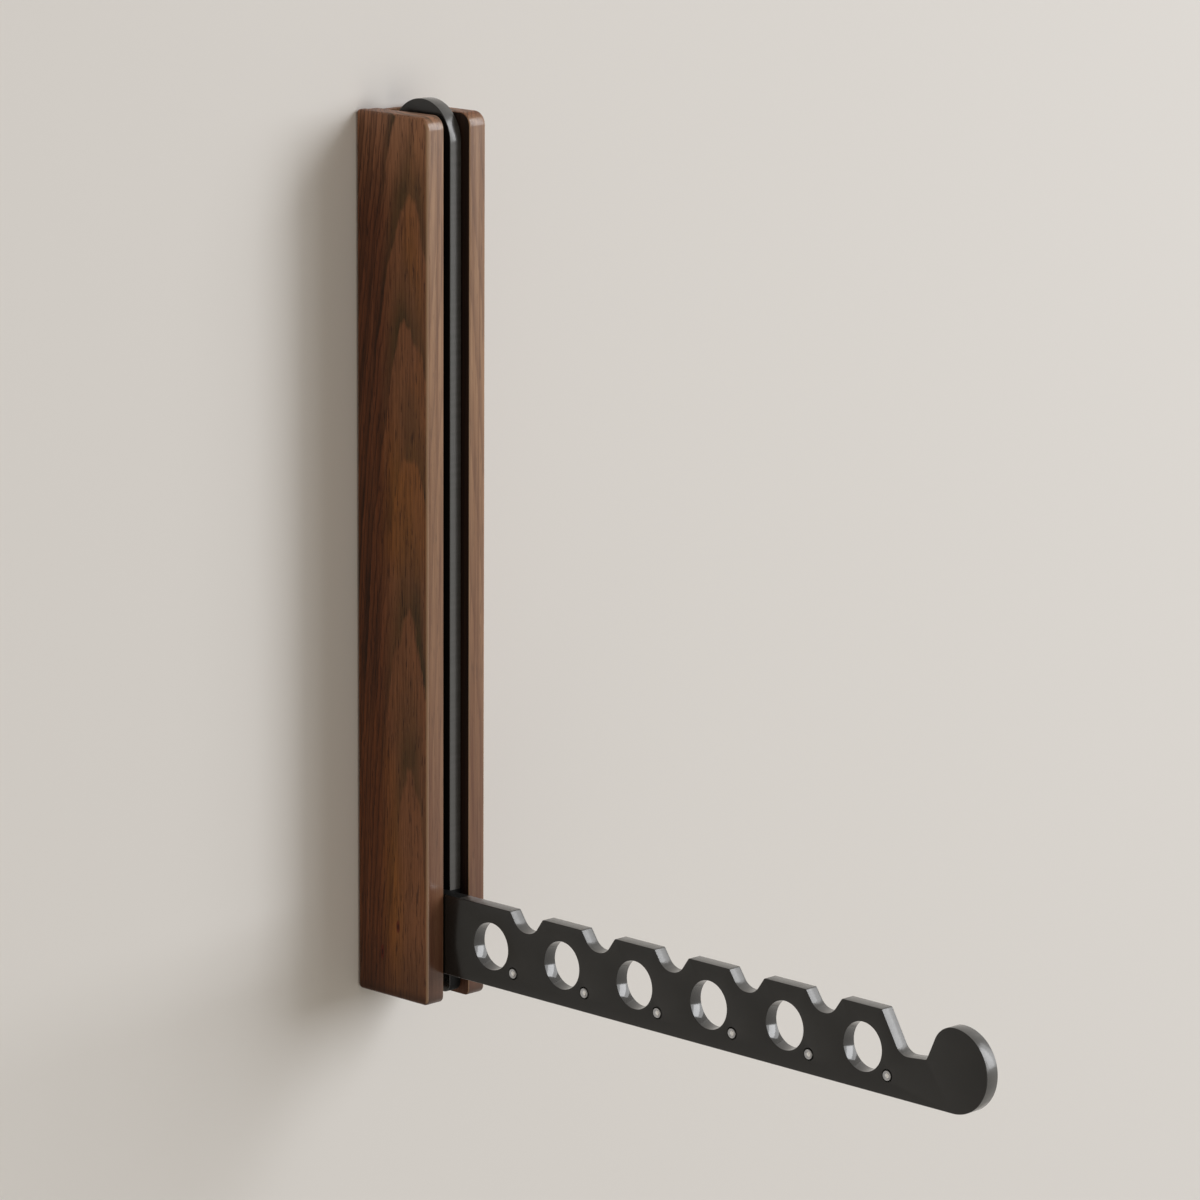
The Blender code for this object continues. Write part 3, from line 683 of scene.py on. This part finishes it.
def stud(name, place, length):
    """Rivet with a dished end: bright metal in the middle as a painted highlight, dark metal on the outer
    shoulder as painted shade in the gap round it. The Z of place points out of the arm's face.
    """
    r, crest = STUD_D / 2, STUD_CREST * STUD_D / 2
    turns = [math.pi / 2 * k / CREST_STEPS for k in range(CREST_STEPS + 1)]
    rise = STUD_SINK + STUD_PROUD
    rim = [(crest + (r - crest) * math.cos(t), rise * math.sin(t) - STUD_SINK) for t in turns]
    shares = [k / DISH_STEPS for k in range(1, DISH_STEPS)]
    dish = [(crest * (1 - s), STUD_PROUD - DISH * (1 - math.cos(math.pi * s)) / 2) for s in shares]
    back = [(0.0, -length), (r - STUD_EASE, -length), (r, STUD_EASE - length)]
    profile = [*back, *rim, *dish, (0.0, STUD_PROUD - DISH)]
    obj = new_solid(lathe(profile, SMALL_STEPS, place), name + "_dome", BRIGHT, ZINC, RIM)
    # painted highlight in the middle, zinc between, painted shade on the outer shoulder
    to_stud = place.inverted()
    for face in obj.data.polygons:
        out = (to_stud @ face.center).xy.length
        face.material_index = int(out > crest / 2) + int(out > crest)
    smooth(obj, STUD_CREASE)
    stand_for(obj, name)


def arm(node, holes, folded):
    """Flat arm with hanger holes, notches and studs; folded stands it up in the slot."""
    low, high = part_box(node)
    hub = AT_PIN @ Matrix.Rotation(-math.pi / 2 if folded else 0.0, 4, "X")
    centres = [(FIRST_HOLE + k * HOLE_PITCH, ARM_H / 2 - PIN_TO_EDGE) for k in range(holes)]
    spots = [(u + STUD_ALONG, STUD_UP - PIN_TO_EDGE) for u, _ in centres]
    loops = [arm_outline(holes)]
    loops += [circle(u, v, HOLE_D / 2, ROUND_STEPS) for u, v in centres]
    loops += [circle(u, v, STUD_D / 2 + SEAT_GAP, SMALL_STEPS) for u, v in spots]
    loops.append(circle(0.0, 0.0, BUSH_R, SMALL_STEPS))
    flat = [[(-u, v) for u, v in loop] for loop in loops]
    plate = eased_plate(flat, low.x, high.x, ARM_EASE, ARM_EASE, ARM_EASE_STEPS, hub @ SIDEWAYS)
    obj = new_solid(plate, node + "_plate", BLACK, EDGE, HUB_SHADE, BORE)
    seats = []
    for x in (low.x, high.x):
        rod = [(0.0, x - FLANGE_SEAT), (FLANGE_SEAT_R, x - FLANGE_SEAT),
               (FLANGE_SEAT_R, x + FLANGE_SEAT), (0.0, x + FLANGE_SEAT)]
        seats.append(lathe(rod, ROUND_STEPS, AT_PIN @ Matrix.Rotation(math.pi / 2, 4, "Y")))
    carve(obj, *seats)
    smooth(obj, PLATE_CREASE)
    to_hub = hub.inverted()
    for face in obj.data.polygons:
        if face.material_index != RIM_SLOT:
            continue
        _, y, v = to_hub @ face.center
        # near the pin the edge takes the painted shade
        if -y < HUB:
            face.material_index = HUB_SLOT
        # round the holes the edge takes the darker hole-wall material, painted shade in part
        elif min(math.dist((-y, v), centre) for centre in centres) < BORE_REACH:
            face.material_index = BORE_SLOT
    stand_for(obj, node)
    for k, (u, v) in enumerate(spots):
        place = hub @ Matrix.Translation((low.x, -u, v)) @ Matrix.Rotation(-math.pi / 2, 4, "Y")
        stud(f"{node}_stud_{k + 1}", place, high.x - low.x - SEAT_GAP)


arm("left_arm", holes=6, folded=False)
arm("right_arm", holes=7, folded=True)


def screw(node):
    """Countersunk screw from the wall side, with a cross slot in its head."""
    low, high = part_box(node)
    x, z, length = (low.x + high.x) / 2, (low.z + high.z) / 2, high.y - low.y
    place = Matrix.Translation((x, high.y, z)) @ Matrix.Rotation(math.pi / 2, 4, "X")
    head, shank = SCREW_HEAD_D / 2, SCREW_D / 2
    profile = [(0.0, 0.0), (head - SCREW_RIM, 0.0), (head, SCREW_RIM), (shank, head - shank + SCREW_RIM)]
    profile += [(shank, length - SCREW_POINT), (SCREW_TIP_R, length), (0.0, length)]
    obj = new_solid(lathe(profile, SMALL_STEPS, place), node + "_turned", ZINC)
    slots = []
    for turn in (CROSS_TURN, CROSS_TURN + math.pi / 2):
        bm = bmesh.new()
        bar = Matrix.Rotation(turn, 4, "Z") @ Matrix.Diagonal((*CROSS_SLOT, 1.0))
        bmesh.ops.create_cube(bm, size=1.0, matrix=place @ bar)
        for v in bm.verts:
            if v.co.y < high.y:
                v.co += (Vector((x, v.co.y, z)) - v.co) * CROSS_TAPER
        slots.append(bm)
    carve(obj, *slots)
    smooth(obj, TURNED_CREASE)
    stand_for(obj, node)


def cup(node):
    """Dished steel cup for a wall screw, let into the back board."""
    low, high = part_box(node)
    depth, rim, way = high.y - low.y, (high.x - low.x) / 2, WALL_SCREW_D / 2
    place = Matrix.Translation((0.0, low.y, (low.z + high.z) / 2)) @ Matrix.Rotation(-math.pi / 2, 4, "X")
    lip = [(rim - CUP_RIM, 0.0), (rim - CUP_EASE, 0.0), (rim, CUP_EASE)]
    profile = [*lip, (rim, depth), (way, depth), (way, depth - CUP_EASE)]
    obj = new_solid(lathe(profile, ROUND_STEPS, place, ring=True), node + "_dished", ZINC)
    smooth(obj, TURNED_CREASE)
    stand_for(obj, node)


def pad(node):
    """Soft pad with rounded corners and a rounded front edge."""
    low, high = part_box(node)
    corners = ((low.x, low.z), (high.x, low.z), (high.x, high.z), (low.x, high.z))
    outline = rounded([(x, z, PAD_R) for x, z in corners])
    plate = eased_plate([outline], low.y, high.y, PAD_FRONT_EASE, PAD_BACK_EASE, PAD_EASE_STEPS, FORWARD)
    obj = new_solid(plate, node + "_soft", RUBBER, RUBBER)
    smooth(obj, PLATE_CREASE)
    stand_for(obj, node)


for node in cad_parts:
    if node.endswith("_screw") or "_board_screw_" in node:
        screw(node)
    elif node.endswith("_screw_cup"):
        cup(node)
    elif node.endswith("_stow_pad"):
        pad(node)

# Nodes that keep their CAD shape
KEPT = {
    "back_board": BOARD_WALNUT,
    "hinge_bracket": BLACK,
    "hinge_pin": BRIGHT,
    "pin_washer": ZINC,
    "pin_clip": ZINC,
    "left_outer_bush": PLASTIC,
    "left_inner_bush": PLASTIC,
    "right_inner_bush": PLASTIC,
    "right_outer_bush": PLASTIC,
}
for node, mat in KEPT.items():
    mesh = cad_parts[node].data
    mesh.materials.clear()
    mesh.materials.append(mat)


# Wall

WALL_Y = 0.0004
WALL_REACH = 4.0
WALL_PAINT = (0.768, 0.757, 0.742, 1.0)
WINDOW_EDGE = 0.002  # the window's edge lies this far inside the block's
WINDOW_FOOT = 0.006
CUP_SPOT_R = 0.7 * WALL_SCREW_D


def one_sided(paint):
    """Makes a paint clear when it is seen from behind."""
    nodes, links = paint.tree.nodes, paint.tree.links
    clear = nodes.new("ShaderNodeBsdfTransparent")
    side = nodes.new("ShaderNodeNewGeometry")
    either = nodes.new("ShaderNodeMixShader")
    links.new(side.outputs["Backfacing"], either.inputs[0])
    links.new(paint.shader.outputs[0], either.inputs[1])
    links.new(clear.outputs[0], either.inputs[2])
    links.new(either.outputs[0], nodes["Material Output"].inputs["Surface"])


def wall():
    """Wall seen from its front only, with a window behind the block so that light reaches the block's back.
    Two round spots of wall in that window stand behind the holes of the wall screw cups."""
    low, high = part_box("left_cheek")[0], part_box("right_cheek")[1]
    xs = (-WALL_REACH, low.x + WINDOW_EDGE, high.x - WINDOW_EDGE, WALL_REACH)
    zs = (-WALL_REACH, low.z + WINDOW_FOOT, high.z - WINDOW_EDGE, WALL_REACH)
    bm = bmesh.new()
    grid = [[bm.verts.new((x, WALL_Y, z)) for x in xs] for z in zs]
    for i in range(3):
        for j in range(3):
            if (i, j) != (1, 1):
                bm.faces.new((grid[i][j], grid[i][j + 1], grid[i + 1][j + 1], grid[i + 1][j]))
    for node in ("lower_wall_screw_cup", "upper_wall_screw_cup"):
        z = (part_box(node)[0].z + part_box(node)[1].z) / 2
        bm.faces.new([bm.verts.new((a, WALL_Y, b)) for a, b in circle(0.0, z, CUP_SPOT_R, SMALL_STEPS)])
    paint = Paint("wall_paint", Base_Color=WALL_PAINT, Roughness=0.9, Specular_IOR_Level=0.2)
    one_sided(paint)
    obj = link_mesh(bm, "wall", paint.mat)


wall()


# Light

FILL_COLOUR = (1.0, 0.885, 0.735, 1.0)
FILL_STRENGTH = 0.28
BACKDROP = (0.665, 0.640, 0.600, 1.0)
RACK = (0.0, -0.05, 0.0)
KEY_AT = (2.92, -2.98, 1.59)
KEY_COLOUR = (0.965, 0.977, 1.0)
FRONT_AT = (-0.50, -2.60, -0.45)
FRONT_TO = (-0.1, 0.0, -0.1)
FRONT_COLOUR = (1.0, 0.93, 0.82)


def studio():
    """Warm fill from all round. The camera and mirrored or clear rays see a plain backdrop in its place."""
    world = bpy.data.worlds.new("studio")
    bpy.context.scene.world = world
    world.use_nodes = True
    nodes, links = world.node_tree.nodes, world.node_tree.links
    nodes.clear()
    fill = nodes.new("ShaderNodeBackground")
    fill.inputs["Color"].default_value = FILL_COLOUR
    fill.inputs["Strength"].default_value = FILL_STRENGTH
    seen = nodes.new("ShaderNodeBackground")
    seen.inputs["Color"].default_value = BACKDROP
    path = nodes.new("ShaderNodeLightPath")
    looking = path.outputs["Is Camera Ray"]
    for kind in ("Is Glossy Ray", "Is Transmission Ray"):
        both = nodes.new("ShaderNodeMath")
        both.operation, both.use_clamp = "ADD", True
        links.new(looking, both.inputs[0])
        links.new(path.outputs[kind], both.inputs[1])
        looking = both.outputs[0]
    either = nodes.new("ShaderNodeMixShader")
    links.new(looking, either.inputs[0])
    links.new(fill.outputs[0], either.inputs[1])
    links.new(seen.outputs[0], either.inputs[2])
    output = nodes.new("ShaderNodeOutputWorld")
    links.new(either.outputs[0], output.inputs["Surface"])


def softbox(name, at, to, width, height, watts, colour):
    """Area lamp that stands at one point and faces another."""
    lamp = bpy.data.lights.new(name, "AREA")
    lamp.shape, lamp.size, lamp.size_y = "RECTANGLE", width, height
    lamp.energy, lamp.color = watts, colour
    obj = bpy.data.objects.new(name, lamp)
    obj.location = at
    obj.rotation_euler = (Vector(to) - Vector(at)).to_track_quat("-Z", "Y").to_euler()
    bpy.context.collection.objects.link(obj)


studio()
# A tall key with a wider one round it gives shadows with a dark core and a long soft rim
softbox("key_softbox", KEY_AT, RACK, width=1.4, height=3.2, watts=80.0, colour=KEY_COLOUR)
softbox("key_spread", KEY_AT, RACK, width=3.4, height=3.6, watts=84.0, colour=KEY_COLOUR)
softbox("front_softbox", FRONT_AT, FRONT_TO, width=1.4, height=1.4, watts=9.0, colour=FRONT_COLOUR)


# Camera, fitted to the photo

CAMERA_AT = (-1.747742, -1.846844, 0.508751)
YAW = math.radians(45.5827)
PITCH = math.radians(11.8086)
ROLL = math.radians(0.3441)
FOCAL_MM = 173.267
SENSOR_MM = 36.0
CLIP_END = 50.0


def photo_camera():
    """Camera with the photo's view. YAW turns it to the right of +Y, PITCH down, ROLL about its own view."""
    ahead = Vector((math.sin(YAW) * math.cos(PITCH), math.cos(YAW) * math.cos(PITCH), -math.sin(PITCH)))
    level = Vector((math.cos(YAW), -math.sin(YAW), 0.0))
    above = level.cross(ahead)
    right = level * math.cos(ROLL) + above * math.sin(ROLL)
    up = above * math.cos(ROLL) - level * math.sin(ROLL)
    lens = bpy.data.cameras.new("camera")
    lens.sensor_fit = "HORIZONTAL"
    lens.sensor_width = SENSOR_MM
    lens.lens = FOCAL_MM
    lens.clip_end = CLIP_END
    camera = bpy.data.objects.new("camera", lens)
    turn = Matrix((right, up, -ahead)).transposed().to_4x4()
    camera.matrix_world = Matrix.Translation(CAMERA_AT) @ turn
    bpy.context.collection.objects.link(camera)
    bpy.context.scene.camera = camera


photo_camera()
bpy.context.scene.view_settings.view_transform = "Standard"

bpy.context.view_layer.update()
